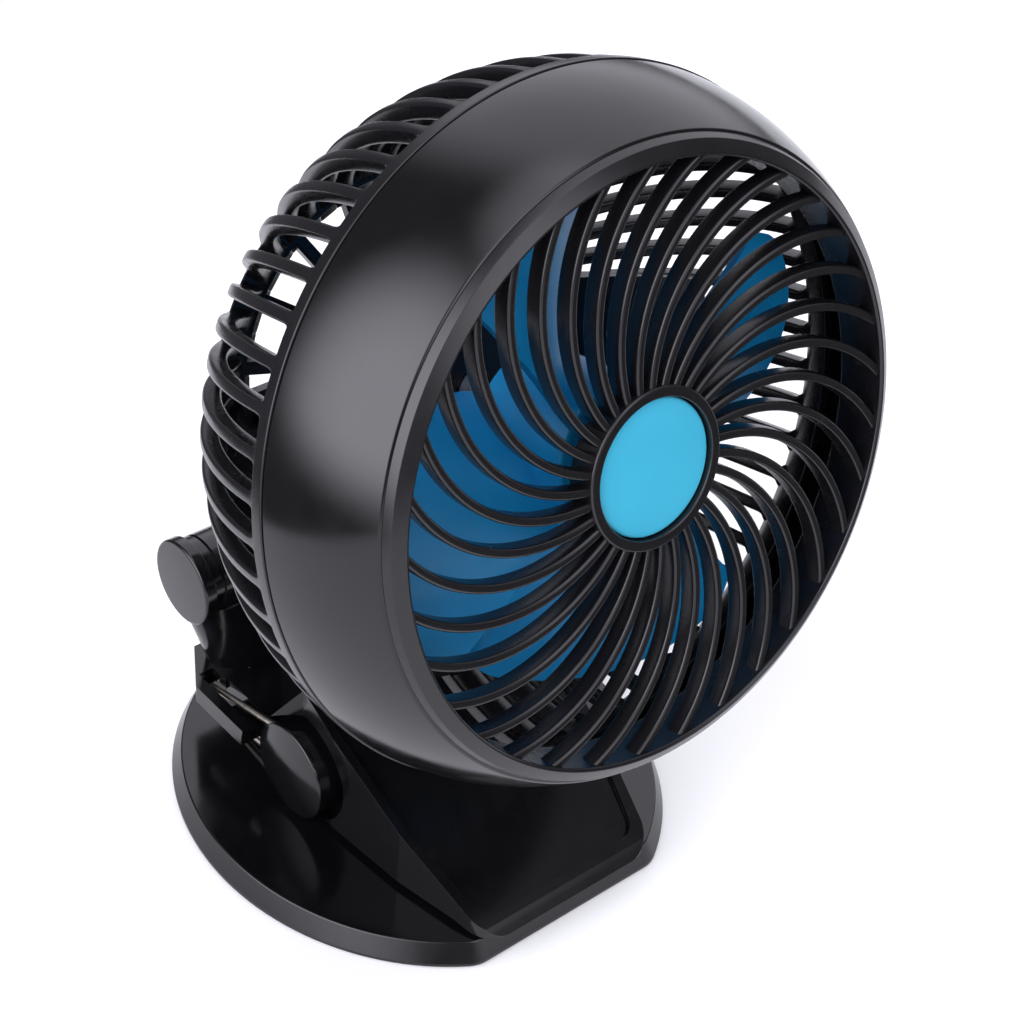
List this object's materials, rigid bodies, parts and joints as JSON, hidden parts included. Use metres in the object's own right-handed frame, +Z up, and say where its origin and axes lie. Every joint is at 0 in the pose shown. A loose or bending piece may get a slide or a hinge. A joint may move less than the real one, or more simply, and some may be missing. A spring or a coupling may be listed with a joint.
{
  "type": "portable clip-on fan",
  "caption": "Portable clip-on camping fan: tilting round head with spiral front grille on an oval neck and a sprung clip with an oval foot plate.",
  "frame": {"origin": "centre of the foot plate's oval outline, on the surface that the fan stands on", "axes": "+Z up, the air leaves towards -Y, +X is the right-hand side seen from the front"},
  "size_m": [0.1556, 0.151, 0.2103],
  "materials": {
    "black_shell": "glossy moulded ABS",
    "black_grille": "satin-gloss moulded ABS",
    "cyan_disc": "glossy ABS",
    "blue_blade": "glossy moulded ABS",
    "rubber": "matt moulded rubber",
    "steel": "zinc-plated steel",
    "spring_steel": "nickel-plated spring wire",
    "cell_sleeve": "shrink sleeve",
    "board": "solder-masked glass epoxy",
    "lens": "frosted clear plastic"
  },
  "bodies": {
    "base": {"base_plate": "black_shell", "base_pad": "rubber", "lower_grip_pad": "rubber", "hinge_pin": "steel", "hinge_cap_left": "black_shell", "hinge_cap_right": "black_shell"},
    "upper_jaw": {"jaw_shell": "black_shell", "jaw_grip_pad": "rubber", "neck": "black_shell", "neck_screws": "steel", "spring_left": "spring_steel", "spring_right": "spring_steel", "tilt_pin": "steel"},
    "head": {"front_shell": "black_shell", "front_grille": "black_grille", "centre_disc": "cyan_disc", "rear_grille": "black_grille", "motor": "steel", "motor_screws": "steel", "rear_box": "black_shell", "box_cover": "black_shell", "cover_screws": "steel", "battery_cells": "cell_sleeve", "circuit_board": "board", "usb_socket": "steel", "indicator_lens": "lens", "tilt_cap_left": "black_shell", "tilt_cap_right": "black_shell"},
    "impeller": {"impeller": "blue_blade", "motor_shaft": "steel"},
    "power_button": {"power_button": "black_grille"}
  },
  "joints": [
    {"name": "clip_hinge", "type": "hinge", "parent": "base", "child": "upper_jaw", "pos_m": [0, 0.0031, 0.021], "axis": [-1, 0, 0], "range_deg": [0, 15], "stiffness_Nm_per_rad": 1.6, "springref_deg": -40.11, "deforming": ["spring_left", "spring_right"]},
    {"name": "head_tilt", "type": "hinge", "parent": "upper_jaw", "child": "head", "pos_m": [0, 0.0403, 0.0575], "axis": [-1, 0, 0], "range_deg": [-18, 70]},
    {"name": "impeller_spin", "type": "hinge", "parent": "head", "child": "impeller", "pos_m": [0, -0.04234, 0.13429], "axis": [0, -0.9748, 0.2233], "continuous": true},
    {"name": "button_press", "type": "slide", "parent": "head", "child": "power_button", "axis": [0, -0.9748, 0.2233], "range_m": [0, 0.0012], "stiffness_N_per_m": 600}
  ]
}
